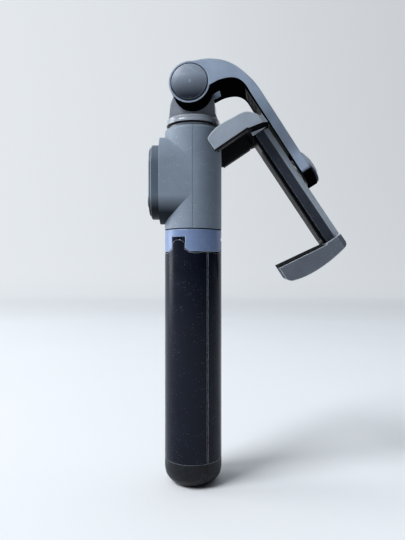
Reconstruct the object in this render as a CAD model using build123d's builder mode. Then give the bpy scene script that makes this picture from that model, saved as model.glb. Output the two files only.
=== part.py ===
from build123d import *
import math
import os

os.makedirs("parts", exist_ok=True)

# Pocket selfie-stick gimbal with folding tripod legs, shown folded.
# Millimetres. +Z runs up the handle axis, the origin is on that axis in the plane of the feet.
# -X is the control panel side, +X the side of the folding arm.

# ---- driving dimensions ----
R_BODY = 14.0            # handle and housing radius
FOOT_TOP = 11.9
LEG_BOTTOM = 12.0
LEG_TOP = 112.6
COLLAR_BOTTOM = 112.8
COLLAR_TOP = 123.5
SEAM_GAP = 0.14          # half of the gap between neighbouring legs
LEG_WALL_R = 11.4        # inner radius of a leg shell
LEG_PIN_R = 11.0         # distance of a leg hinge pin from the handle axis
LEG_PIN_Z = 116.0
LEG_AZIMUTHS = (0, 120, 240)
TONGUE_HALF = 3.5
TONGUE_TOP = 118.3
SLOT_HALF = 3.65
SLOT_TOP = 119.8

TUBE_R, TUBE_IN = 6.9, 6.45
TUBE_BOTTOM = 46.0
ROD_R = (6.37, 5.82, 5.27, 4.72, 4.17)
ROD_IN = (5.90, 5.35, 4.80, 4.25, 3.40)
ROD_BOTTOM = (47.5, 48.5, 49.5, 50.5, 51.5)
ROD_TOP = (124.6, 125.7, 126.8, 127.9, 136.0)

HOUSE_BOTTOM, HOUSE_TOP = 123.8, 172.8
HOUSE_WALL = 1.8
BOSS_Z = 148.0           # centre height of the control boss
BOSS_HALF_H = 21.35
BOSS_FACE = 16.2         # boss face at X = -BOSS_FACE
BEZEL_Z, BEZEL_HALF_H, BEZEL_HALF_W, BEZEL_OUT = 147.3, 18.3, 11.4, 20.4
PLATE_Z, PLATE_HALF_H, PLATE_HALF_W, PLATE_OUT = 147.5, 16.9, 10.0, 21.3
SHUTTER_Z, SHUTTER_R = 138.0, 3.0
POWER_Z, POWER_R = 157.5, 2.0

HEAD_PAN = 7.0           # the head stands turned by this angle about the handle axis
HINGE_Z = 192.6
LUG_R = 9.7
NECK_Y0, NECK_Y1 = 0.3, 8.0          # the neck's hinge ear along the hinge axis
GAP_Y0, GAP_Y1 = 0.0, 8.3             # the arm's fork gap along the hinge axis
CHEEK_OUT = 13.5
CAP_R, CAP_EDGE, CAP_FACE = 8.6, 13.9, 14.9
FORK_R = 13.2            # reach of the fork gap from the hinge axis

CLAMP_ANGLE = 33.0       # slope of the straight arm from the vertical
ARM_OUT, ARM_IN = -25.2, -20.8
MOTOR_D = 63.2           # motor axis, measured along the arm from the hinge
MOTOR_R = 7.3
ARM_END_R = 8.8
COVER_D0, COVER_D1 = 15.6, 53.6  # inner cover of the arm
RAIL_BACK, RAIL_FACE = -19.3, -10.9
RAIL_START, RAIL_END = 38.0, 98.0
RAIL_HALF_W = 10.0
JAW_HALF_W, JAW_GAP_HALF = 20.3, 16.0

c7, s7 = math.cos(math.radians(HEAD_PAN)), math.sin(math.radians(HEAD_PAN))
ca, sa = math.cos(math.radians(CLAMP_ANGLE)), math.sin(math.radians(CLAMP_ANGLE))

# Head frame: side plane seen from -Y (local x outwards along the arm, local y up, z towards -Y),
# top plane (local x outwards, local y away from -Y).
SIDE = Plane(origin=(0, 0, 0), x_dir=(c7, -s7, 0), z_dir=(-s7, -c7, 0))
HEAD = Plane(origin=(0, 0, 0), x_dir=(c7, -s7, 0), z_dir=(0, 0, 1))
# Hinge axis plane, centred on the hinge.
HINGE = Plane(origin=(0, 0, HINGE_Z), x_dir=(c7, -s7, 0), z_dir=(-s7, -c7, 0))
D_DIR = (sa * c7, -sa * s7, -ca)          # along the straight arm, away from the hinge
N_DIR = (-ca * c7, ca * s7, -sa)          # the way the jaws point
Y_DIR = (s7, c7, 0)                       # along the hinge axis
# Profile plane of the clamp: x along D, y along N, z along the hinge axis.
PROF = Plane(origin=(0, 0, HINGE_Z), x_dir=D_DIR, z_dir=Y_DIR)


def clamp_plane(n):
    # Plane square to N at height n: local x along D, local y against Y_DIR.
    return Plane(origin=(N_DIR[0] * n, N_DIR[1] * n, HINGE_Z + N_DIR[2] * n), x_dir=D_DIR, z_dir=N_DIR)


def rail_plane(d):
    # Plane square to D at distance d: local x along the hinge axis, local y along N.
    return Plane(origin=(D_DIR[0] * d, D_DIR[1] * d, HINGE_Z + D_DIR[2] * d), x_dir=(-Y_DIR[0], -Y_DIR[1], 0), z_dir=D_DIR)


def save(part, name):
    part.label = name
    export_step(part, "parts/" + name + ".step")


# =================================================================== tripod hub
with BuildPart() as tripod_collar:
    with BuildSketch(Plane.XY.offset(COLLAR_BOTTOM)):
        Circle(R_BODY)
    extrude(amount=COLLAR_TOP - COLLAR_BOTTOM)
    with BuildSketch(Plane.XY.offset(COLLAR_BOTTOM)):
        Circle(TUBE_R)
    extrude(amount=COLLAR_TOP - COLLAR_BOTTOM, mode=Mode.SUBTRACT)
    chamfer(tripod_collar.edges().filter_by(GeomType.CIRCLE).group_by(Axis.Z)[-1].sort_by(SortBy.LENGTH)[-1], 0.4)
    for azimuth in LEG_AZIMUTHS:
        # slot for the leg tongue, open to the outside and below
        with BuildSketch(Plane(origin=(0, 0, 0), x_dir=(-math.sin(math.radians(azimuth)), math.cos(math.radians(azimuth)), 0),
                               z_dir=(math.cos(math.radians(azimuth)), math.sin(math.radians(azimuth)), 0)).offset(TUBE_R + 0.3)):
            with BuildLine():
                Polyline((-SLOT_HALF, SLOT_TOP), (SLOT_HALF, SLOT_TOP), (SLOT_HALF, 114.35), (6.4, 112.35),
                         (6.4, 112.0), (-6.4, 112.0), (-6.4, 112.35), (-SLOT_HALF, 114.35), close=True)
            make_face()
        extrude(amount=10, mode=Mode.SUBTRACT)
        # cross bore of the hinge pin
        with BuildSketch(Plane(origin=(LEG_PIN_R * math.cos(math.radians(azimuth)), LEG_PIN_R * math.sin(math.radians(azimuth)), LEG_PIN_Z),
                               x_dir=(math.cos(math.radians(azimuth)), math.sin(math.radians(azimuth)), 0),
                               z_dir=(-math.sin(math.radians(azimuth)), math.cos(math.radians(azimuth)), 0))):
            Circle(1.02)
        extrude(amount=6.3, both=True, mode=Mode.SUBTRACT)
save(tripod_collar.part, "tripod_collar")

with BuildPart() as outer_tube:
    with BuildSketch(Plane.XY.offset(TUBE_BOTTOM)):
        Circle(TUBE_R - 0.02)
        Circle(TUBE_IN, mode=Mode.SUBTRACT)
    extrude(amount=COLLAR_TOP - TUBE_BOTTOM)
    with BuildSketch(Plane.XY.offset(COLLAR_TOP - 4.5)):
        Circle(TUBE_R - 0.2)
        Circle(TUBE_IN - 0.01, mode=Mode.SUBTRACT)
    extrude(amount=4.5, mode=Mode.SUBTRACT)
save(outer_tube.part, "outer_tube")

with BuildPart() as guide_bush:
    with BuildSketch(Plane.XY.offset(COLLAR_TOP - 4.45)):
        Circle(TUBE_R - 0.22)
        Circle(TUBE_IN - 0.02, mode=Mode.SUBTRACT)
    extrude(amount=4.45)
save(guide_bush.part, "guide_bush")

with BuildPart() as tube_end_plug:
    with BuildSketch(Plane.XY.offset(TUBE_BOTTOM - 2.0)):
        Circle(TUBE_R - 0.02)
    extrude(amount=2.0 - 0.02)
    with BuildSketch(Plane.XY.offset(TUBE_BOTTOM - 0.02)):
        Circle(TUBE_IN - 0.03)
    extrude(amount=1.2)
    chamfer(tube_end_plug.edges().filter_by(GeomType.CIRCLE).group_by(Axis.Z)[0], 0.6)
save(tube_end_plug.part, "tube_end_plug")

with BuildPart() as leg_hinge_pins:
    for azimuth in LEG_AZIMUTHS:
        with BuildSketch(Plane(origin=(LEG_PIN_R * math.cos(math.radians(azimuth)), LEG_PIN_R * math.sin(math.radians(azimuth)), LEG_PIN_Z),
                               x_dir=(math.cos(math.radians(azimuth)), math.sin(math.radians(azimuth)), 0),
                               z_dir=(-math.sin(math.radians(azimuth)), math.cos(math.radians(azimuth)), 0))):
            Circle(1.0)
        extrude(amount=6.2, both=True)
save(leg_hinge_pins.part, "leg_hinge_pins")

# =================================================================== legs
for azimuth, suffix in zip(LEG_AZIMUTHS, ("a", "b", "c")):
    ux, uy = math.cos(math.radians(azimuth)), math.sin(math.radians(azimuth))
    # leg frame: x outwards, y along the tangent
    with BuildPart() as leg_shell:
        with BuildSketch(Plane(origin=(0, 0, LEG_BOTTOM), x_dir=(ux, uy, 0), z_dir=(0, 0, 1))):
            Circle(R_BODY)
            Circle(LEG_WALL_R, mode=Mode.SUBTRACT)
            with BuildLine():
                Polyline((0.28, 0), (0.28 + 30 * math.cos(math.pi / 3), 30 * math.sin(math.pi / 3)), (40, 0),
                         (0.28 + 30 * math.cos(math.pi / 3), -30 * math.sin(math.pi / 3)), close=True)
            make_face(mode=Mode.INTERSECT)
        extrude(amount=LEG_TOP - LEG_BOTTOM)
        # two cross ribs inside the channel
        with BuildSketch(*[Plane(origin=(0, 0, h), x_dir=(ux, uy, 0), z_dir=(0, 0, 1)) for h in (33.0, LEG_BOTTOM)]):
            Circle(LEG_WALL_R + 0.5)
            Circle(7.6, mode=Mode.SUBTRACT)
            with BuildLine():
                Polyline((0.5, 0), (0.5 + 30 * math.cos(math.pi / 3), 30 * math.sin(math.pi / 3)), (40, 0),
                         (0.5 + 30 * math.cos(math.pi / 3), -30 * math.sin(math.pi / 3)), close=True)
            make_face(mode=Mode.INTERSECT)
        extrude(amount=1.6)
        # flared tongue that rises into the collar slot
        with BuildSketch(Plane(origin=(0, 0, 0), x_dir=(-uy, ux, 0), z_dir=(ux, uy, 0)).offset(8.0)):
            with BuildLine():
                Polyline((-TONGUE_HALF, 114.2), (-TONGUE_HALF, 116.6), (-2.6, 117.8), (-1.2, TONGUE_TOP), (1.2, TONGUE_TOP),
                         (2.6, 117.8), (TONGUE_HALF, 116.6), (TONGUE_HALF, 114.2), (6.1, 112.2), (6.1, 110.5), (-6.1, 110.5), (-6.1, 112.2),
                         close=True)
            make_face()
        extrude(amount=8)
        with BuildSketch(Plane(origin=(0, 0, LEG_BOTTOM), x_dir=(ux, uy, 0), z_dir=(0, 0, 1))):
            Circle(R_BODY)
        extrude(amount=120, mode=Mode.INTERSECT)
        pin_plane = Plane(origin=(LEG_PIN_R * ux, LEG_PIN_R * uy, LEG_PIN_Z), x_dir=(ux, uy, 0), z_dir=(-uy, ux, 0))
        # room for the swing outside the tongue: the corner under the collar is cut round about the pin
        with BuildSketch(pin_plane.offset(TONGUE_HALF)):
            Circle(3.3)
        extrude(amount=1.5, mode=Mode.SUBTRACT)
        with BuildSketch(pin_plane.offset(-TONGUE_HALF - 1.5)):
            Circle(3.3)
        extrude(amount=1.5, mode=Mode.SUBTRACT)
        with BuildSketch(pin_plane.offset(TONGUE_HALF + 1.5)):
            Circle(3.85)
        extrude(amount=12, mode=Mode.SUBTRACT)
        with BuildSketch(pin_plane.offset(-TONGUE_HALF - 13.5)):
            Circle(3.85)
        extrude(amount=12, mode=Mode.SUBTRACT)
        # pin bore
        with BuildSketch(pin_plane):
            Circle(1.06)
        extrude(amount=10, both=True, mode=Mode.SUBTRACT)
    save(leg_shell.part, "leg_shell_" + suffix)

    with BuildPart() as leg_foot:
        # a third of a domed rubber foot, with a plug that reaches up into the channel
        with BuildSketch(Plane.XZ):
            with BuildLine():
                Line((0, 0), (7.0, 0))
                Spline((7.0, 0), (10.4, 1.0), (12.9, 3.6), (R_BODY, 7.6), tangents=((1, 0), (0.12, 1)))
                Line((R_BODY, 7.6), (R_BODY, FOOT_TOP))
                Line((R_BODY, FOOT_TOP), (0, FOOT_TOP))
                Line((0, FOOT_TOP), (0, 0))
            make_face()
        revolve(axis=Axis.Z)
        with BuildSketch(Plane.XY.offset(FOOT_TOP)):
            Circle(LEG_WALL_R - 0.1)
            Circle(7.6, mode=Mode.SUBTRACT)
        extrude(amount=9.0)
        with BuildSketch(Plane.XY.offset(LEG_BOTTOM)):
            Circle(LEG_WALL_R)
        extrude(amount=1.7, mode=Mode.SUBTRACT)
        with BuildSketch(Plane.XY.offset(FOOT_TOP)):
            Circle(10.0)
            Circle(8.4, mode=Mode.SUBTRACT)
        extrude(amount=0.1)
        # foot a reaches just past the handle axis, the other two stop short of it
        apex = -0.12 if suffix == "a" else 0.28
        with BuildSketch(Plane(origin=(0, 0, 0), x_dir=(ux, uy, 0), z_dir=(0, 0, 1))):
            with BuildLine():
                Polyline((apex, 0), (apex + 30 * math.cos(math.pi / 3), 30 * math.sin(math.pi / 3)), (40, 0),
                         (apex + 30 * math.cos(math.pi / 3), -30 * math.sin(math.pi / 3)), close=True)
            make_face()
        extrude(amount=LEG_BOTTOM - 0.1, mode=Mode.INTERSECT)
    save(leg_foot.part, "leg_foot_" + suffix)

# =================================================================== telescopic rods
for i in range(5):
    with BuildPart() as rod:
        with BuildSketch(Plane.XY.offset(ROD_BOTTOM[i])):
            Circle(ROD_R[i])
            Circle(ROD_IN[i], mode=Mode.SUBTRACT)
        extrude(amount=ROD_TOP[i] - ROD_BOTTOM[i])
        if i < 4:
            # rolled lip at the mouth of the tube
            chamfer(rod.edges().filter_by(GeomType.CIRCLE).group_by(Axis.Z)[-1].sort_by(SortBy.LENGTH)[-1], 0.2)
    save(rod.part, "rod_%d" % (i + 1))

# =================================================================== housing
# Charging port plane: the port looks out to the rear, half way between +X and +Y.
PORT = Plane(origin=(0, 0, 131.2), x_dir=(-math.sin(math.pi / 4), math.cos(math.pi / 4), 0), z_dir=(math.cos(math.pi / 4), math.sin(math.pi / 4), 0))
with BuildPart() as housing_front_shell:
    with BuildSketch(Plane.XY.offset(HOUSE_BOTTOM)):
        Circle(R_BODY)
    extrude(amount=HOUSE_TOP - HOUSE_BOTTOM)
    fillet(housing_front_shell.edges().filter_by(GeomType.CIRCLE).group_by(Axis.Z)[-1], 1.3)
    # control boss, a stadium that grows out of the round body
    with BuildSketch(Plane(origin=(0, 0, BOSS_Z), x_dir=(0, 1, 0), z_dir=(-1, 0, 0))):
        SlotOverall(2 * BOSS_HALF_H, 2 * R_BODY, rotation=90)
    extrude(amount=BOSS_FACE)
    with BuildSketch(Plane.XY.offset(HOUSE_BOTTOM + 1.5)):
        Circle(R_BODY - HOUSE_WALL)
    extrude(amount=HOUSE_TOP - HOUSE_BOTTOM - 3.0, mode=Mode.SUBTRACT)
    with BuildSketch(Plane(origin=(0, 0, BOSS_Z), x_dir=(0, 1, 0), z_dir=(-1, 0, 0))):
        SlotOverall(2 * BOSS_HALF_H - 2 * HOUSE_WALL - 2.4, 2 * R_BODY - 2 * HOUSE_WALL - 2.4, rotation=90)
    extrude(amount=BOSS_FACE + 1, mode=Mode.SUBTRACT)
    with BuildSketch(Plane.XY.offset(HOUSE_BOTTOM)):
        Circle(7.4)
    extrude(amount=3, mode=Mode.SUBTRACT)
    with BuildSketch(Plane.XY.offset(HOUSE_TOP - 4)):
        Circle(6.6)
    extrude(amount=5, mode=Mode.SUBTRACT)
    split(bisect_by=Plane(origin=(-0.04, 0, 0), z_dir=(-1, 0, 0)), keep=Keep.TOP)
save(housing_front_shell.part, "housing_front_shell")

with BuildPart() as housing_rear_shell:
    with BuildSketch(Plane.XY.offset(HOUSE_BOTTOM)):
        Circle(R_BODY)
    extrude(amount=HOUSE_TOP - HOUSE_BOTTOM)
    fillet(housing_rear_shell.edges().filter_by(GeomType.CIRCLE).group_by(Axis.Z)[-1], 1.3)
    with BuildSketch(Plane.XY.offset(HOUSE_BOTTOM + 1.5)):
        Circle(R_BODY - HOUSE_WALL)
    extrude(amount=HOUSE_TOP - HOUSE_BOTTOM - 3.0, mode=Mode.SUBTRACT)
    with BuildSketch(Plane.XY.offset(HOUSE_BOTTOM)):
        Circle(7.4)
    extrude(amount=3, mode=Mode.SUBTRACT)
    with BuildSketch(Plane.XY.offset(HOUSE_TOP - 4)):
        Circle(6.6)
    extrude(amount=5, mode=Mode.SUBTRACT)
    # charging port mouth
    with BuildSketch(PORT.offset(8)):
        SlotOverall(9.3, 3.5)
    extrude(amount=8, mode=Mode.SUBTRACT)
    split(bisect_by=Plane(origin=(0.04, 0, 0), z_dir=(1, 0, 0)), keep=Keep.TOP)
save(housing_rear_shell.part, "housing_rear_shell")

with BuildPart() as pan_bearing:
    with BuildSketch(Plane.XY.offset(169.6)):
        Circle(6.55)
        Circle(4.05, mode=Mode.SUBTRACT)
    extrude(amount=HOUSE_TOP - 0.1 - 169.6)
    with BuildSketch(Plane.XY.offset(169.6)):
        Circle(9.0)
        Circle(4.05, mode=Mode.SUBTRACT)
    extrude(amount=1.6)
save(pan_bearing.part, "pan_bearing")

with BuildPart() as rod_socket:
    with BuildSketch(Plane.XY.offset(129.3)):
        Circle(6.2)
        Circle(4.2, mode=Mode.SUBTRACT)
    extrude(amount=7.2)
    with BuildSketch(Plane.XY.offset(134.9)):
        Rectangle(5.2, 23.4)
        Circle(4.2, mode=Mode.SUBTRACT)
    extrude(amount=1.6)
save(rod_socket.part, "rod_socket")

with BuildPart() as battery_cell:
    with BuildSketch(Plane.XY.offset(138.2)):
        with Locations((5.2, 0)):
            RectangleRounded(8.2, 14.6, 1.5)
    extrude(amount=24)
save(battery_cell.part, "battery_cell")

with BuildPart() as control_board:
    with BuildSketch(Plane(origin=(-10.2, 0, BOSS_Z - 0.5), x_dir=(0, 1, 0), z_dir=(-1, 0, 0))):
        RectangleRounded(13.6, 30, 2)
    extrude(amount=1.2)
save(control_board.part, "control_board")

with BuildPart() as dome_switches:
    for z in (SHUTTER_Z, POWER_Z):
        with BuildSketch(Plane(origin=(-11.45, 0, z), x_dir=(0, 1, 0), z_dir=(-1, 0, 0))):
            RectangleRounded(4.5, 4.5, 0.5)
        extrude(amount=1.6)
save(dome_switches.part, "dome_switches")

with BuildPart() as usb_port:
    with BuildSketch(PORT.offset(6.8)):
        SlotOverall(9.0, 3.2)
    extrude(amount=6.4)
    with BuildSketch(PORT.offset(8.2)):
        SlotOverall(8.4, 2.6)
        SlotOverall(6.8, 0.8, mode=Mode.SUBTRACT)
    extrude(amount=6, mode=Mode.SUBTRACT)
save(usb_port.part, "usb_port")

with BuildPart() as panel_bezel:
    with BuildSketch(Plane(origin=(-BOSS_FACE - 0.03, 0, BEZEL_Z), x_dir=(0, 1, 0), z_dir=(-1, 0, 0))):
        SlotOverall(2 * BEZEL_HALF_H, 2 * BEZEL_HALF_W, rotation=90)
    extrude(amount=BEZEL_OUT - BOSS_FACE - 0.03)
    chamfer(panel_bezel.faces().sort_by(Axis.X)[0].edges(), 0.5)
    # shallow recess for the front plate
    with BuildSketch(Plane(origin=(-BEZEL_OUT + 0.8, 0, PLATE_Z), x_dir=(0, 1, 0), z_dir=(-1, 0, 0))):
        SlotOverall(2 * PLATE_HALF_H, 2 * PLATE_HALF_W, rotation=90)
    extrude(amount=2, mode=Mode.SUBTRACT)
    # locating rim that reaches into the boss
    with BuildSketch(Plane(origin=(-BOSS_FACE + 1.2, 0, BOSS_Z), x_dir=(0, 1, 0), z_dir=(-1, 0, 0))):
        SlotOverall(2 * BOSS_HALF_H - 2 * HOUSE_WALL - 2.6 - 4, 19.4, rotation=90)
    extrude(amount=1.3)
    for z, r in ((SHUTTER_Z, SHUTTER_R + 0.06), (POWER_Z, POWER_R + 0.06), (149.0, 0.8)):
        with BuildSketch(Plane(origin=(-10, 0, z), x_dir=(0, 1, 0), z_dir=(-1, 0, 0))):
            Circle(r)
        extrude(amount=14, mode=Mode.SUBTRACT)
    # screw bores
    for y, z in ((-6.4, BOSS_Z - 10.5), (6.4, BOSS_Z - 10.5), (-6.4, BOSS_Z + 10.5), (6.4, BOSS_Z + 10.5)):
        with BuildSketch(Plane(origin=(-10, y, z), x_dir=(0, 1, 0), z_dir=(-1, 0, 0))):
            Circle(0.85)
        extrude(amount=14, mode=Mode.SUBTRACT)
save(panel_bezel.part, "panel_bezel")

with BuildPart() as housing_screws:
    for y, z in ((-6.4, BOSS_Z - 10.5), (6.4, BOSS_Z - 10.5), (-6.4, BOSS_Z + 10.5), (6.4, BOSS_Z + 10.5)):
        with BuildSketch(Plane(origin=(-13.0, y, z), x_dir=(0, 1, 0), z_dir=(-1, 0, 0))):
            Circle(0.8)
        extrude(amount=6.4)
save(housing_screws.part, "housing_screws")

with BuildPart() as panel_plate:
    with BuildSketch(Plane(origin=(-BEZEL_OUT + 0.78, 0, PLATE_Z), x_dir=(0, 1, 0), z_dir=(-1, 0, 0))):
        SlotOverall(2 * PLATE_HALF_H - 0.2, 2 * PLATE_HALF_W - 0.2, rotation=90)
    extrude(amount=PLATE_OUT - BEZEL_OUT + 0.78)
    chamfer(panel_plate.faces().sort_by(Axis.X)[0].edges(), 0.35)
    for z, r in ((SHUTTER_Z, SHUTTER_R + 0.08), (POWER_Z, POWER_R + 0.08), (149.0, 0.8)):
        with BuildSketch(Plane(origin=(-10, 0, z), x_dir=(0, 1, 0), z_dir=(-1, 0, 0))):
            Circle(r)
        extrude(amount=14, mode=Mode.SUBTRACT)
save(panel_plate.part, "panel_plate")

with BuildPart() as status_led_lens:
    with BuildSketch(Plane(origin=(-BEZEL_OUT + 0.82, 0, 149.0), x_dir=(0, 1, 0), z_dir=(-1, 0, 0))):
        Circle(0.75)
    extrude(amount=PLATE_OUT - BEZEL_OUT + 0.7)
save(status_led_lens.part, "status_led_lens")

with BuildPart() as shutter_button:
    with BuildSketch(Plane(origin=(-14.0, 0, SHUTTER_Z), x_dir=(0, 1, 0), z_dir=(-1, 0, 0))):
        Circle(SHUTTER_R)
    extrude(amount=8.3)
    fillet(shutter_button.faces().sort_by(Axis.X)[0].edges(), 0.5)
save(shutter_button.part, "shutter_button")

with BuildPart() as power_button:
    with BuildSketch(Plane(origin=(-14.0, 0, POWER_Z), x_dir=(0, 1, 0), z_dir=(-1, 0, 0))):
        Circle(POWER_R)
    extrude(amount=8.1)
    fillet(power_button.faces().sort_by(Axis.X)[0].edges(), 0.4)
save(power_button.part, "power_button")

# =================================================================== neck
with BuildPart() as neck_yoke:
    # flared ear that carries the hinge
    with BuildSketch(SIDE.offset(-NECK_Y1)):
        with BuildLine():
            Polyline((-13.6, 175.2), (-12.7, 178.9), (-12.2, 181.0), (-11.7, 186.6), (-9.4, HINGE_Z), (9.4, HINGE_Z), (10.6, 186.2), (10.9, 181.6),
                     (13.6, 175.2), close=True)
        make_face()
        with Locations((0, HINGE_Z)):
            Circle(9.4)
    extrude(amount=NECK_Y1 - NECK_Y0)
    # shoulder behind the ear
    with BuildSketch(SIDE.offset(-13.0)):
        with BuildLine():
            Polyline((-13.6, 175.2), (-11.6, 179.8), (-10.4, 181.2), (10.4, 181.2), (11.6, 179.8), (13.6, 175.2), close=True)
        make_face()
    extrude(amount=8)
    with BuildSketch(Plane.XY.offset(174.0)):
        Circle(13.45)
    extrude(amount=40, mode=Mode.INTERSECT)
    # round base over the housing
    with BuildSketch(SIDE):
        with BuildLine():
            Polyline((0, 172.95), (11.9, 172.95), (11.9, 174.1), (12.6, 174.1), (13.2, 174.7), (13.2, 175.6), (13.0, 176.0), (13.0, 177.3),
                     (12.4, 177.9), (0, 178.1), close=True)
        make_face()
    revolve(axis=Axis.Z)
    # hinge bore with counterbores for the friction washers
    with BuildSketch(HINGE):
        Circle(2.58)
    extrude(amount=14, both=True, mode=Mode.SUBTRACT)
    for offset, amount in ((-NECK_Y0 - 0.6, 1.0), (-NECK_Y1 + 0.6, -1.0)):
        with BuildSketch(HINGE.offset(offset)):
            Circle(5.3)
        extrude(amount=amount, mode=Mode.SUBTRACT)
    # stepped bore for the pan shaft
    with BuildSketch(Plane.XY.offset(172.9)):
        Circle(4.03)
    extrude(amount=1.32, mode=Mode.SUBTRACT)
    with BuildSketch(Plane.XY.offset(174.0)):
        Circle(3.85)
    extrude(amount=6.0, mode=Mode.SUBTRACT)
save(neck_yoke.part, "neck_yoke")

with BuildPart() as pan_shaft:
    with BuildSketch(Plane.XY.offset(165.6)):
        Circle(3.98)
    extrude(amount=174.2 - 165.6)
    with BuildSketch(Plane.XY.offset(174.2)):
        Circle(3.83)
    extrude(amount=5.7)
    with BuildSketch(Plane.XY.offset(165.6)):
        Circle(2.2)
    extrude(amount=20, mode=Mode.SUBTRACT)
save(pan_shaft.part, "pan_shaft")

with BuildPart() as pan_retaining_nut:
    with BuildSketch(Plane.XY.offset(166.0)):
        RegularPolygon(7.0, 6)
        Circle(4.0, mode=Mode.SUBTRACT)
    extrude(amount=2.6)
    with BuildSketch(Plane.XY.offset(168.6)):
        Circle(7.2)
        Circle(4.0, mode=Mode.SUBTRACT)
    extrude(amount=0.9)
save(pan_retaining_nut.part, "pan_retaining_nut")

# =================================================================== folding arm
def dn(d, n):
    # point of the head side plane (outwards, up) for clamp coordinates (d, n)
    return (d * sa - n * ca, HINGE_Z - d * ca - n * sa)


ARM_END = MOTOR_D + ARM_END_R
with BuildPart() as arm_frame:
    with BuildSketch(SIDE):
        with BuildLine():
            Spline((0.5, 202.2), (6.5, 203.0), (14.3, 202.4), (21.5, 199.4), (27.4, 194.6), dn(23.6, ARM_OUT), tangents=((1, 0.1), (sa, -ca)))
            Line(dn(23.6, ARM_OUT), dn(ARM_END, ARM_OUT))
            Line(dn(ARM_END, ARM_OUT), dn(ARM_END, ARM_IN))
            Line(dn(ARM_END, ARM_IN), dn(21.5, ARM_IN))
            Spline(dn(21.5, ARM_IN), (25.6, 191.3), (21.6, 193.6), (15.9, 193.4), (9.3, 190.6), tangents=((-sa, ca), (-1, -0.55)))
            Line((9.3, 190.6), (0.5, 192.6))
            Line((0.5, 192.6), (0.5, 202.2))
        make_face()
        with Locations((0, HINGE_Z)):
            Circle(LUG_R + 0.1)
    extrude(amount=CHEEK_OUT, both=True)
    # plan outline: full width at the hinge, narrower and round at the motor
    with BuildSketch(clamp_plane(-60)):
        with BuildLine():
            Line((-40, CHEEK_OUT), (-40, -CHEEK_OUT))
            Line((-40, -CHEEK_OUT), (0, -CHEEK_OUT))
            Spline((0, -CHEEK_OUT), (22, -12.6), (42, -10.6), (MOTOR_D, -ARM_END_R), tangents=((1, 0), (1, 0)))
            Line((MOTOR_D, -ARM_END_R), (MOTOR_D, ARM_END_R))
            Spline((MOTOR_D, ARM_END_R), (42, 10.6), (22, 12.6), (0, CHEEK_OUT), tangents=((-1, 0), (-1, 0)))
            Line((0, CHEEK_OUT), (-40, CHEEK_OUT))
        make_face()
        with Locations((MOTOR_D, 0)):
            Circle(ARM_END_R)
    extrude(amount=100, mode=Mode.INTERSECT)
    # fork gap
    with BuildSketch(HINGE.offset(-GAP_Y1)):
        Circle(FORK_R)
    extrude(amount=GAP_Y1 - GAP_Y0, mode=Mode.SUBTRACT)
    # hinge bore and cap recesses
    with BuildSketch(HINGE):
        Circle(2.52)
    extrude(amount=20, both=True, mode=Mode.SUBTRACT)
    for offset, amount in ((CHEEK_OUT - 1.3, 3.0), (-CHEEK_OUT + 1.3, -3.0)):
        with BuildSketch(HINGE.offset(offset)):
            Circle(CAP_R + 0.32)
        extrude(amount=amount, mode=Mode.SUBTRACT)
    # motor well through the end
    with BuildSketch(clamp_plane(ARM_OUT - 1)):
        with Locations((MOTOR_D, 0)):
            Circle(MOTOR_R + 0.05)
    extrude(amount=8, mode=Mode.SUBTRACT)
    # recess for the inner cover
    with BuildSketch(clamp_plane(ARM_IN - 0.9)):
        with Locations(((COVER_D0 + COVER_D1) / 2, 0)):
            RectangleRounded(COVER_D1 - COVER_D0, 15.2, 1.0)
    extrude(amount=4, mode=Mode.SUBTRACT)
save(arm_frame.part, "arm_frame")

with BuildPart() as arm_inner_cover:
    with BuildSketch(clamp_plane(ARM_IN - 0.88)):
        with Locations(((COVER_D0 + COVER_D1) / 2, 0)):
            RectangleRounded(COVER_D1 - COVER_D0 - 0.2, 15.0, 0.9)
    extrude(amount=0.9)
    # shallow moulded grid
    with BuildSketch(clamp_plane(ARM_IN - 0.28)):
        with Locations((21.6, 0)):
            with GridLocations(3.1, 5.8, 3, 2):
                RectangleRounded(2.3, 4.6, 0.3)
    extrude(amount=1, mode=Mode.SUBTRACT)
    with BuildSketch(clamp_plane(ARM_IN - 2)):
        with Locations((28.6, 0), (51.4, 0)):
            Circle(1.05)
    extrude(amount=3, mode=Mode.SUBTRACT)
save(arm_inner_cover.part, "arm_inner_cover")

with BuildPart() as arm_cover_screws:
    with BuildSketch(clamp_plane(ARM_IN - 0.85)):
        with Locations((28.6, 0), (51.4, 0)):
            Circle(1.0)
            Rectangle(1.2, 0.3, mode=Mode.SUBTRACT)
            Rectangle(0.3, 1.2, mode=Mode.SUBTRACT)
    extrude(amount=0.75)
save(arm_cover_screws.part, "arm_cover_screws")

# Cap profile plane: x up from the hinge axis, y along the axis towards the front.
CAP_PROF = Plane(origin=(0, 0, HINGE_Z), x_dir=(0, 0, 1), z_dir=(c7, -s7, 0))
for side, cap_name in ((1, "hinge_cap_front"), (-1, "hinge_cap_rear")):
    # slightly domed cap with a rounded rim
    with BuildPart() as hinge_cap:
        with BuildSketch(CAP_PROF):
            with BuildLine():
                Line((0, side * (CHEEK_OUT - 1.28)), (CAP_R, side * (CHEEK_OUT - 1.28)))
                Line((CAP_R, side * (CHEEK_OUT - 1.28)), (CAP_R, side * (CAP_EDGE - 0.5)))
                ThreePointArc((CAP_R, side * (CAP_EDGE - 0.5)), (CAP_R - 0.13, side * (CAP_EDGE - 0.14)), (CAP_R - 0.5, side * CAP_EDGE))
                TangentArc((0, side * CAP_FACE), (CAP_R - 0.5, side * CAP_EDGE), tangent=(1, 0))
                Line((0, side * CAP_FACE), (0, side * (CHEEK_OUT - 1.28)))
            make_face()
        revolve(axis=Axis((0, 0, HINGE_Z), (-s7, -c7, 0)))
    save(hinge_cap.part, cap_name)

with BuildPart() as hinge_pin:
    with BuildSketch(HINGE):
        Circle(2.5)
    extrude(amount=CHEEK_OUT - 1.35, both=True)
save(hinge_pin.part, "hinge_pin")

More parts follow.
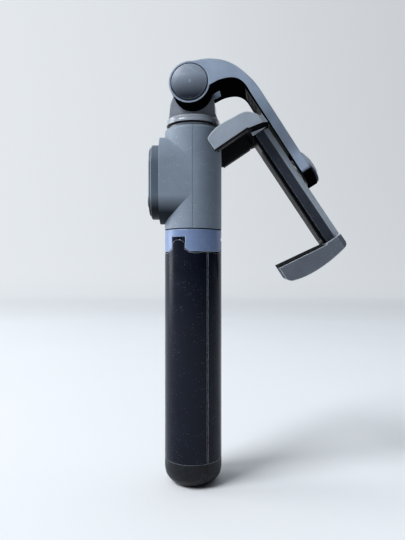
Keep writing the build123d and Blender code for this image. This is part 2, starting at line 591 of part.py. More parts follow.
with BuildPart() as friction_washers:
    for offset, amount in ((-NECK_Y0 - 0.5, 0.75), (-NECK_Y1 + 0.5, -0.75)):
        with BuildSketch(HINGE.offset(offset)):
            Circle(5.0)
            Circle(2.6, mode=Mode.SUBTRACT)
        extrude(amount=amount)
save(friction_washers.part, "friction_washers")

with BuildPart() as motor_stator:
    with BuildSketch(clamp_plane(ARM_OUT - 0.9)):
        with Locations((MOTOR_D, 0)):
            Circle(MOTOR_R)
            Circle(1.56, mode=Mode.SUBTRACT)
    extrude(amount=ARM_IN - 0.1 - ARM_OUT + 0.9)
save(motor_stator.part, "motor_stator")

with BuildPart() as motor_cap:
    with BuildSketch(Plane(origin=clamp_plane(0).origin + Vector(*D_DIR) * MOTOR_D, x_dir=D_DIR, z_dir=Y_DIR)):
        with BuildLine():
            Line((0, ARM_OUT - 0.03), (8.4, ARM_OUT - 0.03))
            Line((8.4, ARM_OUT - 0.03), (8.4, ARM_OUT - 0.5))
            Spline((8.4, ARM_OUT - 0.5), (7.7, ARM_OUT - 1.5), (5.2, ARM_OUT - 2.3), (0, ARM_OUT - 2.6), tangents=((0, -1), (-1, 0)))
            Line((0, ARM_OUT - 2.6), (0, ARM_OUT - 0.03))
        make_face()
    revolve(axis=Axis(clamp_plane(0).origin + Vector(*D_DIR) * MOTOR_D, N_DIR))
    with BuildSketch(clamp_plane(ARM_OUT - 1.0)):
        with Locations((MOTOR_D, 0)):
            Circle(MOTOR_R + 0.05)
    extrude(amount=4, mode=Mode.SUBTRACT)
save(motor_cap.part, "motor_cap")

# =================================================================== phone clamp
with BuildPart() as motor_rotor:
    with BuildSketch(clamp_plane(ARM_IN + 0.4)):
        with Locations((MOTOR_D, 0)):
            Circle(6.4)
    extrude(amount=RAIL_BACK - 0.02 - ARM_IN - 0.4)
    chamfer(motor_rotor.edges().filter_by(GeomType.CIRCLE).sort_by(Axis.X)[-1], 0.4)
    with BuildSketch(clamp_plane(ARM_OUT - 0.7)):
        with Locations((MOTOR_D, 0)):
            Circle(1.5)
    extrude(amount=RAIL_BACK - 0.02 - ARM_OUT + 0.7)
save(motor_rotor.part, "motor_rotor")

with BuildPart() as clamp_rail:
    with BuildSketch(rail_plane(RAIL_START)):
        with BuildLine():
            Polyline((-RAIL_HALF_W + 1.1, RAIL_FACE), (RAIL_HALF_W - 1.1, RAIL_FACE), (RAIL_HALF_W, RAIL_FACE - 1.3),
                     (RAIL_HALF_W, RAIL_BACK + 2.8), (RAIL_HALF_W - 2.2, RAIL_BACK),
                     (-RAIL_HALF_W + 2.2, RAIL_BACK), (-RAIL_HALF_W, RAIL_BACK + 2.8), (-RAIL_HALF_W, RAIL_FACE - 1.3), close=True)
        make_face()
    extrude(amount=RAIL_END - RAIL_START)
    # tongue that sits in the upper jaw
    with BuildSketch(rail_plane(31.2)):
        with Locations((0, -13.8)):
            Rectangle(13.0, 3.4)
    extrude(amount=8)
    # channel of the slider, open at the outer end
    with BuildSketch(rail_plane(46.0)):
        with Locations((0, -13.75)):
            Rectangle(16.0, 3.5)
    extrude(amount=60, mode=Mode.SUBTRACT)
    # screw bores into the rotor
    with BuildSketch(clamp_plane(RAIL_BACK - 1)):
        with Locations((MOTOR_D - 4, 0), (MOTOR_D + 4, 0)):
            Circle(0.95)
    extrude(amount=3, mode=Mode.SUBTRACT)
    # recess of the rail pad
    with BuildSketch(clamp_plane(RAIL_FACE - 0.5)):
        with Locations((70.5, 0)):
            RectangleRounded(50.2, 15.2, 1.5)
    extrude(amount=2, mode=Mode.SUBTRACT)
save(clamp_rail.part, "clamp_rail")

with BuildPart() as rail_pad:
    with BuildSketch(clamp_plane(RAIL_FACE - 0.48)):
        with Locations((70.5, 0)):
            RectangleRounded(50.0, 15.0, 1.4)
    extrude(amount=0.7)
save(rail_pad.part, "rail_pad")

with BuildPart() as rail_screws:
    with BuildSketch(clamp_plane(RAIL_BACK + 0.03)):
        with Locations((MOTOR_D - 4, 0), (MOTOR_D + 4, 0)):
            Circle(0.9)
    extrude(amount=1.1)
save(rail_screws.part, "rail_screws")

with BuildPart() as upper_jaw:
    with BuildSketch(PROF):
        with BuildLine():
            Line((35.4, 7.9), (30.2, 7.9))
            Spline((30.2, 7.9), (28.5, 6.4), (27.2, 0.0), (27.9, -8.0), (30.4, -14.8), (34.0, -18.3), (37.4, -19.2), tangents=((-1, 0), (1, -0.1)))
            Line((37.4, -19.2), (37.9, -19.2))
            Line((37.9, -19.2), (37.9, RAIL_FACE + 0.4))
            Line((37.9, RAIL_FACE + 0.4), (35.4, RAIL_FACE + 0.9))
            Line((35.4, RAIL_FACE + 0.9), (35.4, 7.9))
        make_face()
    extrude(amount=JAW_HALF_W, both=True)
    # the gap that straddles the handle
    with BuildSketch(clamp_plane(RAIL_FACE)):
        with BuildLine():
            Polyline((20, -JAW_GAP_HALF), (45, -JAW_GAP_HALF), (45, JAW_GAP_HALF), (20, JAW_GAP_HALF), close=True)
        make_face()
    extrude(amount=40, mode=Mode.SUBTRACT)
    # the web sweeps back beside the rail
    for offset, amount in ((10.9, 12.0), (-22.9, 12.0)):
        with BuildSketch(PROF.offset(offset)):
            with BuildLine():
                Spline((35.4, -5.0), (36.1, -10.9), (37.3, -16.2), (38.2, -19.6), tangents=((0, -1), (0.3, -1)))
                Polyline((38.2, -19.6), (44.0, -19.6), (44.0, -5.0), (35.4, -5.0))
            make_face()
        extrude(amount=amount, mode=Mode.SUBTRACT)
    # rounded back corners of the web, seen along D
    with BuildSketch(rail_plane(20)):
        with BuildLine():
            Polyline((-30, -30), (30, -30), (30, -16.6), (JAW_HALF_W, -16.6), (JAW_HALF_W - 2.8, -19.4), (2.8 - JAW_HALF_W, -19.4), (-JAW_HALF_W, -16.6),
                     (-30, -16.6), close=True)
        make_face()
    extrude(amount=30, mode=Mode.SUBTRACT)
    # socket for the rail tongue
    with BuildSketch(rail_plane(31.1)):
        with Locations((0, -13.8)):
            Rectangle(13.1, 3.5)
    extrude(amount=8, mode=Mode.SUBTRACT)
save(upper_jaw.part, "upper_jaw")

with BuildPart() as upper_jaw_pad:
    for side in (-1, 1):
        with BuildSketch(rail_plane(35.45)):
            with Locations((side * (JAW_GAP_HALF + JAW_HALF_W) / 2, (7.2 + RAIL_FACE + 1.4) / 2)):
                Rectangle(3.4, 7.2 - RAIL_FACE - 1.4)
        extrude(amount=0.9)
        # shallow ribs across the pad
        for k in range(9):
            with BuildSketch(rail_plane(36.15)):
                with Locations((side * (JAW_GAP_HALF + JAW_HALF_W) / 2, RAIL_FACE + 2.9 + k * 1.85)):
                    Rectangle(2.4, 0.7)
            extrude(amount=1, mode=Mode.SUBTRACT)
save(upper_jaw_pad.part, "upper_jaw_pad")

with BuildPart() as lower_jaw:
    with BuildSketch(PROF):
        with BuildLine():
            Line((98.25, -18.2), (102.2, -18.2))
            TangentArc((102.2, -18.2), (104.2, -16.4), tangent=(1, 0))
            Spline((104.2, -16.4), (105.6, -9.0), (106.1, -2.5), (105.7, 5.0), (104.4, 10.6), tangents=((0.25, 1), (-0.35, 1)))
            TangentArc((104.4, 10.6), (102.0, 12.9), tangent=(-0.35, 1))
            Line((102.0, 12.9), (96.2, 12.9))
            Line((96.2, 12.9), (98.9, RAIL_FACE + 0.5))
            Line((98.9, RAIL_FACE + 0.5), (98.25, RAIL_FACE + 0.4))
            Line((98.25, RAIL_FACE + 0.4), (98.25, -18.2))
        make_face()
    extrude(amount=JAW_HALF_W, both=True)
    with BuildSketch(clamp_plane(RAIL_FACE)):
        with BuildLine():
            Polyline((85, -JAW_GAP_HALF), (120, -JAW_GAP_HALF), (120, JAW_GAP_HALF), (85, JAW_GAP_HALF), close=True)
        make_face()
    extrude(amount=40, mode=Mode.SUBTRACT)
    with BuildSketch(rail_plane(90)):
        with BuildLine():
            Polyline((-30, -30), (30, -30), (30, -15.8), (JAW_HALF_W, -15.8), (JAW_HALF_W - 2.6, -18.4), (2.6 - JAW_HALF_W, -18.4), (-JAW_HALF_W, -15.8),
                     (-30, -15.8), close=True)
        make_face()
    extrude(amount=30, mode=Mode.SUBTRACT)
    # socket for the slider
    with BuildSketch(rail_plane(98.0)):
        with Locations((0, -13.75)):
            Rectangle(13.1, 2.9)
    extrude(amount=4.0, mode=Mode.SUBTRACT)
save(lower_jaw.part, "lower_jaw")

with BuildPart() as lower_jaw_pad:
    for side in (-1, 1):
        with BuildSketch(PROF.offset(side * (JAW_GAP_HALF + JAW_HALF_W) / 2 - 1.7)):
            with BuildLine():
                Polyline((96.2, 12.8), (98.67, RAIL_FACE + 2.2), (97.27, RAIL_FACE + 2.2), (94.4, 12.8), close=True)
            make_face()
        extrude(amount=3.4)
save(lower_jaw_pad.part, "lower_jaw_pad")

with BuildPart() as jaw_slider:
    with BuildSketch(rail_plane(62.0)):
        with Locations((0, -13.75)):
            Rectangle(15.4, 2.9)
    extrude(amount=3.0)
    with BuildSketch(rail_plane(62.0)):
        with Locations((0, -13.75)):
            Rectangle(13.0, 2.8)
    extrude(amount=39.9)
    # slots that clear the two pull springs
    with BuildSketch(rail_plane(60.0)):
        with Locations((-4.2, -13.75), (4.2, -13.75)):
            Rectangle(2.7, 3.2)
    extrude(amount=33.0, mode=Mode.SUBTRACT)
save(jaw_slider.part, "jaw_slider")

with BuildPart() as jaw_springs:
    for y in (-4.2, 4.2):
        with BuildSketch(rail_plane(46.3)):
            with Locations((y, -13.75)):
                Circle(1.1)
                Circle(0.7, mode=Mode.SUBTRACT)
        extrude(amount=44.0)
save(jaw_springs.part, "jaw_springs")
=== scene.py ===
import math

import bpy
import bmesh
from mathutils import Matrix, Vector


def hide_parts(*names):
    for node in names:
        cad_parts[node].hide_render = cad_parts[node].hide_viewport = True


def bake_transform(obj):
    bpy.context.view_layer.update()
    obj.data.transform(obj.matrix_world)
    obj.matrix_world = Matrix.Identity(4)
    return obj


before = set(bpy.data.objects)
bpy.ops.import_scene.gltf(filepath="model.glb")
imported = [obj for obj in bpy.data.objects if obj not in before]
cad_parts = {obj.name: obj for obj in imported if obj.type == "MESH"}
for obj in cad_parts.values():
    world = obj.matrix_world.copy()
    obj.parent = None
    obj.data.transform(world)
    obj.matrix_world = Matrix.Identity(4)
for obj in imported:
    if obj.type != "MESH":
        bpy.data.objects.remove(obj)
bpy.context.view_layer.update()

scene = bpy.context.scene
scene.view_settings.view_transform = "Standard"
scene.view_settings.look = "Medium High Contrast"
scene.view_settings.exposure = 0.0
scene.view_settings.gamma = 1.0

# ------------------------------------------------------------------ head frame, as in the design
HEAD_PAN = math.radians(7.0)
SLOPE = math.radians(33.0)
c7, s7 = math.cos(HEAD_PAN), math.sin(HEAD_PAN)
ca, sa = math.cos(SLOPE), math.sin(SLOPE)
D_DIR = Vector((sa * c7, -sa * s7, -ca))
N_DIR = Vector((-ca * c7, ca * s7, -sa))
Y_DIR = Vector((s7, c7, 0.0))
HINGE = Vector((0.0, 0.0, 0.1926))


def clamp_point(d, n, y=0.0):
    return HINGE + D_DIR * (d / 1000) + N_DIR * (n / 1000) + Y_DIR * (y / 1000)


# ------------------------------------------------------------------ camera
cam_data = bpy.data.cameras.new("camera")
cam_data.sensor_width = 36.0
cam_data.lens = 18.0 * 503.0 / 270.0
cam_data.clip_start = 0.005
cam_data.clip_end = 50.0
cam = bpy.data.objects.new("camera", cam_data)
scene.collection.objects.link(cam)
cam.location = (0.0046, -0.250, 0.104)
cam.rotation_euler = (math.radians(90), 0, 0)
scene.camera = cam

# ------------------------------------------------------------------ stage: pale floor that rises into a far, pale backdrop
GLOW_FRONT, GLOW_BACK, GLOW_LEFT, GLOW_RIGHT = 0.03, 0.585, 0.13, 0.14
KEY, TOP, LEFT = 46.0, 3.5, 12.0
RADIUS, RISE = 3.2, 1.6
profile = [(0.0, 0.0), (0.25, 0.0), (0.7, 0.0), (1.3, 0.0), (1.9, 0.0)]
for k in range(1, 17):
    t = math.radians(90 * k / 16)
    profile.append((1.9 + (RADIUS - 1.9) * math.sin(t), RISE * (1 - math.cos(t))))
profile += [(RADIUS, 2.4), (RADIUS, 3.4)]
SEG = 96
bm = bmesh.new()
rings = []
for r, z in profile:
    if r == 0:
        rings.append([bm.verts.new((0, 0, z))])
    else:
        rings.append([bm.verts.new((r * math.cos(2 * math.pi * i / SEG), r * math.sin(2 * math.pi * i / SEG), z)) for i in range(SEG)])
for a, b in zip(rings, rings[1:]):
    for i in range(SEG):
        j = (i + 1) % SEG
        if len(a) == 1:
            bm.faces.new((a[0], b[i], b[j]))
        else:
            bm.faces.new((a[i], b[i], b[j], a[j]))
mesh = bpy.data.meshes.new("stage_bowl")
bm.normal_update()
bm.to_mesh(mesh)
bm.free()
mesh.polygons.foreach_set("use_smooth", [True] * len(mesh.polygons))
bowl = bpy.data.objects.new("stage_bowl", mesh)
scene.collection.objects.link(bowl)
bowl.location = (0, 0, -0.0001)


# ------------------------------------------------------------------ material helpers
class Nodes:
    def __init__(self, name):
        self.mat = bpy.data.materials.new(name)
        self.mat.use_nodes = True
        self.t = self.mat.node_tree
        self.t.nodes.clear()
        self.out = self.t.nodes.new("ShaderNodeOutputMaterial")
        self.bsdf = self.t.nodes.new("ShaderNodeBsdfPrincipled")
        self.t.links.new(self.bsdf.outputs[0], self.out.inputs[0])
        self.tc = self.t.nodes.new("ShaderNodeTexCoord")

    def link(self, a, b):
        self.t.links.new(a, b)

    def mapping(self, scale=(1, 1, 1), rotation=(0, 0, 0), source=None):
        m = self.t.nodes.new("ShaderNodeMapping")
        m.inputs["Scale"].default_value = scale
        m.inputs["Rotation"].default_value = rotation
        self.link(source or self.tc.outputs["Object"], m.inputs[0])
        return m.outputs[0]

    def noise(self, scale, detail=3.0, rough=0.5, vector=None, distortion=0.0):
        n = self.t.nodes.new("ShaderNodeTexNoise")
        n.inputs["Scale"].default_value = scale
        n.inputs["Detail"].default_value = detail
        n.inputs["Roughness"].default_value = rough
        n.inputs["Distortion"].default_value = distortion
        self.link(vector or self.tc.outputs["Object"], n.inputs["Vector"])
        return n.outputs["Fac"]

    def voronoi(self, scale, feature="F1", vector=None):
        n = self.t.nodes.new("ShaderNodeTexVoronoi")
        n.feature = feature
        n.inputs["Scale"].default_value = scale
        self.link(vector or self.tc.outputs["Object"], n.inputs["Vector"])
        return n.outputs["Distance"]

    def remap(self, value, a, b, lo=0.0, hi=1.0):
        n = self.t.nodes.new("ShaderNodeMapRange")
        n.inputs["From Min"].default_value = a
        n.inputs["From Max"].default_value = b
        n.inputs["To Min"].default_value = lo
        n.inputs["To Max"].default_value = hi
        self.link(value, n.inputs["Value"])
        return n.outputs[0]

    def math(self, op, a, b=None, clamp=False):
        n = self.t.nodes.new("ShaderNodeMath")
        n.operation = op
        n.use_clamp = clamp
        for k, x in enumerate((a, b)):
            if x is None:
                continue
            if isinstance(x, (int, float)):
                n.inputs[k].default_value = x
            else:
                self.link(x, n.inputs[k])
        return n.outputs[0]

    def dot(self, vector, direction):
        n = self.t.nodes.new("ShaderNodeVectorMath")
        n.operation = "DOT_PRODUCT"
        n.inputs[1].default_value = direction
        self.link(vector, n.inputs[0])
        return n.outputs["Value"]

    def mix(self, fac, a, b, blend="MIX"):
        n = self.t.nodes.new("ShaderNodeMix")
        n.data_type = "RGBA"
        n.blend_type = blend
        for k, x in ((0, fac), (6, a), (7, b)):
            if isinstance(x, (int, float)):
                n.inputs[k].default_value = x
            elif isinstance(x, (tuple, list)):
                n.inputs[k].default_value = (*x[:3], 1.0)
            else:
                self.link(x, n.inputs[k])
        return n.outputs[2]

    def bump(self, height, strength, distance, normal=None):
        n = self.t.nodes.new("ShaderNodeBump")
        n.inputs["Strength"].default_value = strength
        n.inputs["Distance"].default_value = distance
        self.link(height, n.inputs["Height"])
        if normal is not None:
            self.link(normal, n.inputs["Normal"])
        return n.outputs[0]

    def edge(self, radius):
        # 1 on edges and corners, 0 on flats: how far the rounded normal leans from the true one
        b = self.t.nodes.new("ShaderNodeBevel")
        b.samples = 6
        b.inputs["Radius"].default_value = radius
        g = self.t.nodes.new("ShaderNodeNewGeometry")
        n = self.t.nodes.new("ShaderNodeVectorMath")
        n.operation = "DOT_PRODUCT"
        self.link(b.outputs[0], n.inputs[0])
        self.link(g.outputs["Normal"], n.inputs[1])
        return self.remap(n.outputs["Value"], 0.985, 0.80), b.outputs[0]


def moulded(name, base, rough, grain=0.12, grain_scale=5200.0, variation=0.12, rough_var=0.10, dust=0.0, dust_colour=(0.55, 0.58, 0.62),
            edge_wear_and_highlight=0.0, edge_wear_and_highlight_colour=None, streak=0.0, coat=0.0, spec=0.5, sheen=0.0, painted_light_and_shade_masks=(), bevel=0.00045, inward_painted_shade=None):
    """Moulded plastic: spark-eroded grain, cloudy tone, handling marks, dust, rubbed edges that also stand as a painted
    edge highlight, and painted light and shade by facing direction.
    """
    n = Nodes(name)
    edge, round_normal = n.edge(bevel)
    cloud = n.noise(70.0, 4.0, 0.55)
    fine = n.noise(900.0, 3.0, 0.6)
    dark = tuple(c * (1 - variation) for c in base)
    light = tuple(min(1.0, c * (1 + variation)) for c in base)
    colour = n.mix(n.remap(cloud, 0.32, 0.68), dark, light)
    colour = n.mix(n.math("MULTIPLY", n.remap(fine, 0.35, 0.75), 0.35), colour, light)
    rough_value = n.remap(cloud, 0.3, 0.7, rough - rough_var * 0.5, rough + rough_var * 0.5)
    if streak:
        lines = n.noise(1.0, 4.0, 0.6, vector=n.mapping((5200.0, 5200.0, 120.0)))
        mark = n.remap(lines, 0.56, 0.72)
        rough_value = n.math("ADD", rough_value, n.math("MULTIPLY", mark, streak))
        colour = n.mix(n.math("MULTIPLY", mark, 0.12), colour, tuple(min(1.0, c * 2.2 + 0.01) for c in base))
    if dust:
        specks = n.voronoi(800.0)
        thin = n.noise(160.0, 2.0, 0.5)
        spot = n.math("MULTIPLY", n.remap(specks, 0.20, 0.09), n.remap(thin, 0.46, 0.60))
        small = n.math("MULTIPLY", n.remap(n.voronoi(1900.0), 0.20, 0.10), n.remap(thin, 0.40, 0.70))
        cover = n.math("MULTIPLY", n.math("MAXIMUM", spot, n.math("MULTIPLY", small, 0.55)), dust, clamp=True)
        colour = n.mix(cover, colour, dust_colour)
        rough_value = n.math("ADD", rough_value, n.math("MULTIPLY", cover, 0.3))
    # rubbed edges, lightened far enough to be a painted highlight along the edges as well as wear
    if edge_wear_and_highlight:
        broken = n.remap(n.noise(700.0, 3.0, 0.6), 0.30, 0.55, 0.25, 1.0)
        rub_and_highlight = n.math("MULTIPLY", n.math("MULTIPLY", edge, broken), edge_wear_and_highlight, clamp=True)
        colour = n.mix(rub_and_highlight, colour, edge_wear_and_highlight_colour or tuple(min(1.0, c * 2.1 + 0.03) for c in base))
    for painted_tone, direction, lo, hi, dulling in painted_light_and_shade_masks:
        # painted light and shade: faces turned this way get a painted tone, darker where shade would fall, lighter
        # where light would fall
        painted_weight = n.remap(n.dot(n.tc.outputs["Normal"], direction), lo, hi)
        colour = n.mix(painted_weight, colour, painted_tone)
        if dulling:
            n.link(n.remap(painted_weight, 0.0, 1.0, spec, spec * (1 - dulling)), n.bsdf.inputs["Specular IOR Level"])
    if inward_painted_shade:
        # painted shade: faces that look across the middle plane of the clamp, into the gap between its prongs, are
        # painted darker
        side = n.math("MULTIPLY", n.dot(n.tc.outputs["Object"], tuple(Y_DIR)), n.dot(n.tc.outputs["Normal"], tuple(Y_DIR)))
        colour = n.mix(n.remap(side, -0.003, -0.007), colour, inward_painted_shade)
    n.link(colour, n.bsdf.inputs["Base Color"])
    n.link(n.math("MINIMUM", rough_value, 1.0), n.bsdf.inputs["Roughness"])
    grain_height = n.noise(grain_scale, 2.0, 0.5)
    n.link(n.bump(grain_height, grain, 0.00006, round_normal), n.bsdf.inputs["Normal"])
    n.bsdf.inputs["Specular IOR Level"].default_value = spec
    if coat:
        n.bsdf.inputs["Coat Weight"].default_value = coat
        n.bsdf.inputs["Coat Roughness"].default_value = 0.12
    if sheen:
        n.bsdf.inputs["Sheen Weight"].default_value = sheen
        n.bsdf.inputs["Sheen Roughness"].default_value = 0.4
    return n.mat


def metal(name, base, rough, turned=False, axis_scale=(6000.0, 6000.0, 200.0), spec_tint=None):
    """Machined or ground metal with fine tool marks."""
    n = Nodes(name)
    _, round_normal = n.edge(0.00015)
    marks = n.noise(1.0, 3.0, 0.6, vector=n.mapping(axis_scale))
    cloud = n.noise(220.0, 3.0, 0.5)
    colour = n.mix(n.remap(cloud, 0.35, 0.65), tuple(c * 0.85 for c in base), tuple(min(1, c * 1.1) for c in base))
    n.link(colour, n.bsdf.inputs["Base Color"])
    n.link(n.remap(marks, 0.3, 0.7, rough - 0.06, rough + 0.08), n.bsdf.inputs["Roughness"])
    n.bsdf.inputs["Metallic"].default_value = 1.0
    n.link(n.bump(marks, 0.10, 0.00004, round_normal), n.bsdf.inputs["Normal"])
    return n.mat


def rubber(name, base, rough=0.62, grain=0.25):
    n = Nodes(name)
    _, round_normal = n.edge(0.0003)
    cloud = n.noise(90.0, 4.0, 0.55)
    bloom = n.noise(420.0, 3.0, 0.6)
    colour = n.mix(n.remap(cloud, 0.3, 0.7), tuple(c * 0.8 for c in base), tuple(c * 1.25 for c in base))
    colour = n.mix(n.math("MULTIPLY", n.remap(bloom, 0.55, 0.8), 0.3), colour, (0.12, 0.125, 0.13))
    n.link(colour, n.bsdf.inputs["Base Color"])
    n.link(n.remap(cloud, 0.3, 0.7, rough - 0.08, rough + 0.08), n.bsdf.inputs["Roughness"])
    n.link(n.bump(n.noise(3800.0, 3.0, 0.6), grain, 0.00008, round_normal), n.bsdf.inputs["Normal"])
    n.bsdf.inputs["Specular IOR Level"].default_value = 0.4
    return n.mat


DOWN = (0.0, 0.0, -1.0)
# painted shade colour for faces turned away from the light
PAINTED_SHADE_BLACK = (0.0030, 0.0030, 0.0040)
SEAT = tuple(N_DIR)
BACK = tuple(-N_DIR)
# painted light and shade in the masks entries: housing, panel, neck, arm, jaw and lower-jaw faces turned DOWN are
# painted dark as shade, the cap's lower dome is painted darker as a shaded reflection, the rail's SEAT faces are
# painted dark as shade and its BACK faces are painted lighter as lit faces
M = {
    "housing": moulded("housing_plastic", (0.250, 0.298, 0.362), 0.50, grain=0.30, dust=0.75, edge_wear_and_highlight=0.45, variation=0.07, spec=0.35,
                       dust_colour=(0.62, 0.66, 0.71), edge_wear_and_highlight_colour=(0.42, 0.47, 0.54), painted_light_and_shade_masks=[((0.020, 0.025, 0.034), DOWN, 0.10, 0.65, 0.6)]),
    "panel": moulded("panel_plastic", (0.125, 0.155, 0.192), 0.36, grain=0.20, dust=0.25, edge_wear_and_highlight=0.8, variation=0.07, spec=0.4,
                     edge_wear_and_highlight_colour=(0.34, 0.38, 0.44), painted_light_and_shade_masks=[((0.012, 0.014, 0.018), DOWN, 0.10, 0.60, 0.5)]),
    "button": moulded("button_plastic", (0.060, 0.070, 0.088), 0.34, grain=0.12, edge_wear_and_highlight=0.7),
    "leg": moulded("leg_plastic", (0.0060, 0.0095, 0.0205), 0.22, grain=0.06, dust=0.35, edge_wear_and_highlight=1.8, streak=0.05, variation=0.25, rough_var=0.12,
                   dust_colour=(0.22, 0.24, 0.26), edge_wear_and_highlight_colour=(0.50, 0.53, 0.56), spec=0.26, bevel=0.00055),
    "collar": moulded("collar_plastic", (0.225, 0.298, 0.470), 0.26, grain=0.06, dust=0.35, edge_wear_and_highlight=1.6, streak=0.06, edge_wear_and_highlight_colour=(0.52, 0.57, 0.66), spec=0.4, bevel=0.0005),
    "neck": moulded("neck_plastic", (0.310, 0.338, 0.385), 0.20, grain=0.04, dust=0.15, edge_wear_and_highlight=0.8, coat=0.35, edge_wear_and_highlight_colour=(0.50, 0.53, 0.58), bevel=0.0006,
                    painted_light_and_shade_masks=[(PAINTED_SHADE_BLACK, DOWN, 0.05, 0.30, 0.9)]),
    "arm": moulded("arm_plastic", (0.330, 0.395, 0.500), 0.34, grain=0.12, dust=0.25, edge_wear_and_highlight=0.6, bevel=0.0008, spec=0.4,
                   edge_wear_and_highlight_colour=(0.50, 0.56, 0.65), painted_light_and_shade_masks=[(PAINTED_SHADE_BLACK, DOWN, 0.05, 0.18, 1.0)]),
    "cap": moulded("cap_plastic", (0.300, 0.345, 0.415), 0.27, grain=0.10, dust=0.15, edge_wear_and_highlight=0.9, edge_wear_and_highlight_colour=(0.62, 0.66, 0.72), spec=0.4,
                   painted_light_and_shade_masks=[((0.030, 0.036, 0.052), DOWN, -0.10, 0.20, 0.5)]),
    "inner": moulded("inner_plastic", (0.0035, 0.0035, 0.0045), 0.42, grain=0.10, edge_wear_and_highlight=0.5, edge_wear_and_highlight_colour=(0.10, 0.10, 0.105), spec=0.03),
    # the jaw's inward tone is painted shade in the gap between its prongs
    "jaw": moulded("jaw_plastic", (0.310, 0.352, 0.412), 0.46, inward_painted_shade=(0.006, 0.007, 0.010), grain=0.28, dust=0.5, edge_wear_and_highlight=1.6, bevel=0.0009, edge_wear_and_highlight_colour=(0.60, 0.64, 0.69), spec=0.4,
                   painted_light_and_shade_masks=[(PAINTED_SHADE_BLACK, DOWN, 0.06, 0.25, 0.93)]),
    "rail": moulded("rail_plastic", (0.040, 0.047, 0.064), 0.30, grain=0.14, dust=0.2, edge_wear_and_highlight=1.5, bevel=0.0007, edge_wear_and_highlight_colour=(0.46, 0.50, 0.56), spec=0.4,
                    painted_light_and_shade_masks=[((0.420, 0.470, 0.530), BACK, 0.40, 0.62, 0.0), (PAINTED_SHADE_BLACK, SEAT, 0.25, 0.45, 0.9)]),
    "jaw_dark": moulded("jaw_dark_plastic", (0.125, 0.143, 0.172), 0.34, grain=0.12, dust=0.25, edge_wear_and_highlight=1.6, bevel=0.0009, edge_wear_and_highlight_colour=(0.50, 0.53, 0.58), spec=0.4,
                        painted_light_and_shade_masks=[((0.016, 0.018, 0.022), DOWN, 0.35, 0.60, 0.7)]),
    "pad": rubber("pad_rubber", (0.010, 0.0105, 0.012), 0.6),
    "foot": rubber("foot_rubber", (0.0060, 0.0075, 0.012), 0.42, 0.18),
    "steel": metal("steel", (0.55, 0.55, 0.56), 0.30),
    "rod": metal("rod_metal", (0.12, 0.13, 0.15), 0.34),
    "motor": metal("motor_metal", (0.30, 0.31, 0.33), 0.38),
    "nylon": moulded("bush_nylon", (0.45, 0.45, 0.41), 0.5, grain=0.1, variation=0.05),
    "battery": moulded("battery_wrap", (0.06, 0.14, 0.32), 0.3, grain=0.05),
    "board": moulded("board_green", (0.03, 0.14, 0.06), 0.4, grain=0.2, variation=0.3),
    "lens": moulded("lens_clear", (0.62, 0.68, 0.72), 0.3, grain=0.05, variation=0.03),
}

BY_NODE = {
    "tripod_collar": "collar", "outer_tube": "rod", "guide_bush": "nylon", "tube_end_plug": "inner", "leg_hinge_pins": "steel",
    "leg_shell_a": "leg", "leg_shell_b": "leg", "leg_shell_c": "leg", "leg_foot_a": "foot", "leg_foot_b": "foot", "leg_foot_c": "foot",
    "rod_1": "rod", "rod_2": "rod", "rod_3": "rod", "rod_4": "rod", "rod_5": "rod",
    "housing_front_shell": "housing", "housing_rear_shell": "housing", "rod_socket": "inner", "battery_cell": "battery",
    "control_board": "board", "dome_switches": "steel", "usb_port": "steel", "panel_bezel": "panel", "panel_plate": "panel",
    "status_led_lens": "lens", "housing_screws": "steel", "pan_bearing": "nylon", "shutter_button": "button", "power_button": "button",
    "neck_yoke": "neck", "pan_shaft": "steel", "pan_retaining_nut": "steel",
    "arm_frame": "arm", "arm_inner_cover": "inner", "arm_cover_screws": "steel", "hinge_cap_front": "cap", "hinge_cap_rear": "cap",
    "hinge_pin": "steel", "friction_washers": "nylon", "motor_stator": "motor", "motor_cap": "cap",
    "motor_rotor": "motor", "clamp_rail": "rail", "rail_pad": "pad", "rail_screws": "steel", "upper_jaw": "jaw", "upper_jaw_pad": "pad",
    "lower_jaw": "jaw_dark", "lower_jaw_pad": "pad", "jaw_slider": "inner",
}
for node, key in BY_NODE.items():
    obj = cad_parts.get(node)
    if obj is None:
        continue
    if not obj.material_slots:
        obj.data.materials.append(M[key])
    for slot in obj.material_slots:
        slot.material = M[key]


# ------------------------------------------------------------------ jaw springs: real coils in place of the jaw_springs part
def coil(name, y, d0, d1, turns, radius, wire):
    curve = bpy.data.curves.new(name, "CURVE")
    curve.dimensions = "3D"
    curve.bevel_depth = wire
    curve.bevel_resolution = 2
    spline = curve.splines.new("POLY")
    steps = turns * 14
    spline.points.add(steps)
    for k in range(steps + 1):
        t = k / steps
        a = 2 * math.pi * turns * t
        p = clamp_point(d0 + (d1 - d0) * t, -13.75 + radius * math.sin(a), y + radius * math.cos(a))
        spline.points[k].co = (*p, 1.0)
    tmp = bpy.data.objects.new(name + "_curve", curve)
    scene.collection.objects.link(tmp)
    bpy.context.view_layer.update()
    made = bpy.data.meshes.new_from_object(tmp)
    bpy.data.objects.remove(tmp)
    obj = bpy.data.objects.new(name, made)
    scene.collection.objects.link(obj)
    made.polygons.foreach_set("use_smooth", [True] * len(made.polygons))
    made.materials.clear()
    made.materials.append(M["steel"])
    return obj


for label, y in (("near", -4.2), ("far", 4.2)):
    s = coil("jaw_spring_coil_" + label, y, 46.6, 90.0, 34, 0.85, 0.00018)
    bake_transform(s)
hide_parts("jaw_springs")

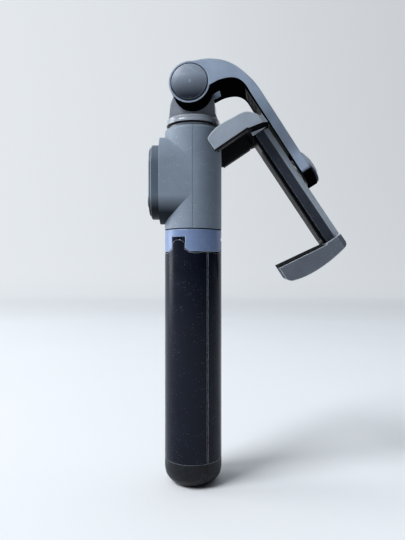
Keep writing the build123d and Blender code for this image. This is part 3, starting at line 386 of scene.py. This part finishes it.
# ------------------------------------------------------------------ stage material: matt pale floor, softly glowing backdrop
f = Nodes("pale_stage")
tone = f.noise(3.0, 3.0, 0.5)
pale = f.mix(f.remap(tone, 0.3, 0.7), (0.80, 0.82, 0.845), (0.82, 0.84, 0.865))
f.bsdf.inputs["Roughness"].default_value = 0.8
f.bsdf.inputs["Specular IOR Level"].default_value = 0.15
pos = f.tc.outputs["Object"]
px = f.dot(pos, (1.0, 0.0, 0.0))
py = f.dot(pos, (0.0, 1.0, 0.0))
radius = f.math("SQRT", f.math("ADD", f.math("MULTIPLY", px, px), f.math("MULTIPLY", py, py)))
wall = f.remap(radius, 0.8, 2.3)
f.link(f.mix(wall, pale, (0.10, 0.105, 0.11)), f.bsdf.inputs["Base Color"])
glow = f.math("ADD", f.remap(py, -1.6, 1.7, GLOW_FRONT, GLOW_BACK), f.remap(px, 0.2, -2.6, 0.0, GLOW_LEFT))
glow = f.math("SUBTRACT", glow, f.remap(px, 0.0, 2.2, 0.0, GLOW_RIGHT))
f.bsdf.inputs["Emission Color"].default_value = (0.925, 0.96, 1.0, 1.0)
f.link(f.math("MULTIPLY", wall, glow), f.bsdf.inputs["Emission Strength"])
bowl.data.materials.append(f.mat)

# ------------------------------------------------------------------ light
world = bpy.data.worlds.new("studio")
scene.world = world
world.use_nodes = True
world.node_tree.nodes["Background"].inputs[0].default_value = (0.86, 0.92, 1.0, 1.0)
world.node_tree.nodes["Background"].inputs[1].default_value = 0.30


def area(name, location, target, size_x, size_y, power, colour=(1, 1, 1)):
    data = bpy.data.lights.new(name, "AREA")
    data.shape = "RECTANGLE"
    data.size, data.size_y = size_x, size_y
    data.energy = power
    data.color = colour
    o = bpy.data.objects.new(name, data)
    scene.collection.objects.link(o)
    o.location = location
    o.rotation_euler = (Vector(target) - Vector(location)).to_track_quat("-Z", "Y").to_euler()
    return o


TARGET = (0.01, 0.0, 0.11)
area("key_softbox", (-1.45, -0.95, 1.95), TARGET, 1.1, 1.1, KEY, (0.97, 0.985, 1.0))
area("top_softbox", (0.15, 0.1, 2.3), TARGET, 1.2, 1.2, TOP, (0.93, 0.965, 1.0))
area("left_strip", (-1.85, 0.35, 0.55), TARGET, 0.8, 1.5, LEFT, (1.0, 0.995, 0.98))
